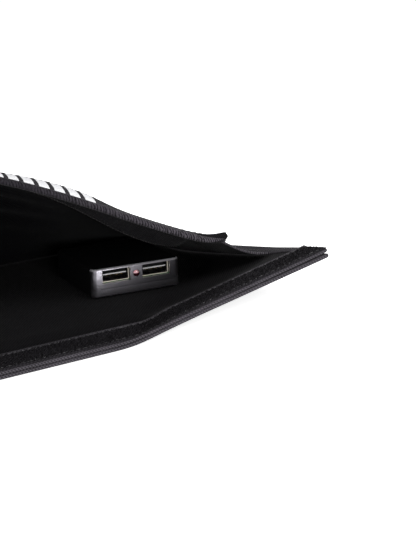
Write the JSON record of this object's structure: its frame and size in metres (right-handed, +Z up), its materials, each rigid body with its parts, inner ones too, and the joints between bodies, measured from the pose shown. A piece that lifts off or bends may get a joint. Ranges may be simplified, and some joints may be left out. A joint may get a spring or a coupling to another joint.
{
  "type": "folding solar panel",
  "caption": "Folding fabric solar charger, unfolded: a gaping pocket leaf with a USB charge controller, and hinged solar leaves with corner eyelets.",
  "frame": {"origin": "on the lying surface, under the middle of the unfolded strip", "axes": "+X along the fold lines, +Y from the pocket's mouth to the far solar leaf, +Z up"},
  "size_m": [0.3, 0.519, 0.0799],
  "materials": {
    "woven_fabric": "coarse black twill",
    "loop_pile": "fuzzy loop tape",
    "hook_plastic": "moulded hooks",
    "case_plastic": "fine sparked texture",
    "foam": "closed-cell foam",
    "screw_steel": "plain",
    "board_green": "solder mask",
    "socket_steel": "nickel plated",
    "tongue_plastic": "plain",
    "contact_metal": "gold flash",
    "lamp_red": "tinted lens",
    "ferrite": "plain",
    "can_aluminium": "plain",
    "chip_black": "plain",
    "gland_rubber": "plain",
    "panel_white": "fibre-filled sheet",
    "cell_blue": "dark blue silicon",
    "ribbon_tin": "tinned",
    "clear_film": "clear, faint dimples",
    "eyelet_metal": "gunmetal"
  },
  "bodies": {
    "pocket_leaf": {"pocket_back": "woven_fabric", "pocket_floor": "woven_fabric", "loop_tape": "loop_pile", "gusset_right": "woven_fabric", "gusset_left": "woven_fabric", "seam_tape": "woven_fabric", "foam_pad": "foam", "case_base": "case_plastic", "case_top": "case_plastic", "case_screws": "screw_steel", "circuit_board": "board_green", "usb_shell_left": "socket_steel", "usb_shell_right": "socket_steel", "usb_tongue_left": "tongue_plastic", "usb_tongue_right": "tongue_plastic", "usb_contacts": "contact_metal", "status_led": "lamp_red", "led_leads": "screw_steel", "power_inductor": "ferrite", "capacitors": "can_aluminium", "control_chips": "chip_black", "lead_gland": "gland_rubber", "web_1_pocket_half": "woven_fabric"},
    "flap": {"pocket_flap": "woven_fabric", "hook_tape": "hook_plastic"},
    "solar_leaf_1": {"back_cover_1": "woven_fabric", "panel_board_1": "panel_white", "cells_1": "cell_blue", "tab_ribbons_1": "ribbon_tin", "clear_cover_1": "clear_film", "border_1": "woven_fabric", "eyelets_1": "eyelet_metal", "eyelet_washers_1": "eyelet_metal", "web_1_solar_half": "woven_fabric", "web_2_inner_half": "woven_fabric"},
    "solar_leaf_2": {"back_cover_2": "woven_fabric", "panel_board_2": "panel_white", "cells_2": "cell_blue", "tab_ribbons_2": "ribbon_tin", "clear_cover_2": "clear_film", "border_2": "woven_fabric", "eyelets_2": "eyelet_metal", "eyelet_washers_2": "eyelet_metal", "web_2_outer_half": "woven_fabric"}
  },
  "joints": [
    {"name": "flap_lift", "type": "hinge", "parent": "pocket_leaf", "child": "flap", "pos_m": [0, -0.1135, 0.0036], "axis": [1, 0, 0], "range_deg": [-18, 0], "deforming": ["gusset_right", "gusset_left"]},
    {"name": "fold_1", "type": "hinge", "parent": "pocket_leaf", "child": "solar_leaf_1", "pos_m": [0, -0.0885, -0.0003], "axis": [1, 0, 0], "range_deg": [-178, 0]},
    {"name": "fold_2", "type": "hinge", "parent": "solar_leaf_1", "child": "solar_leaf_2", "pos_m": [0, 0.0885, 0.0044], "axis": [1, 0, 0], "range_deg": [0, 178]}
  ]
}
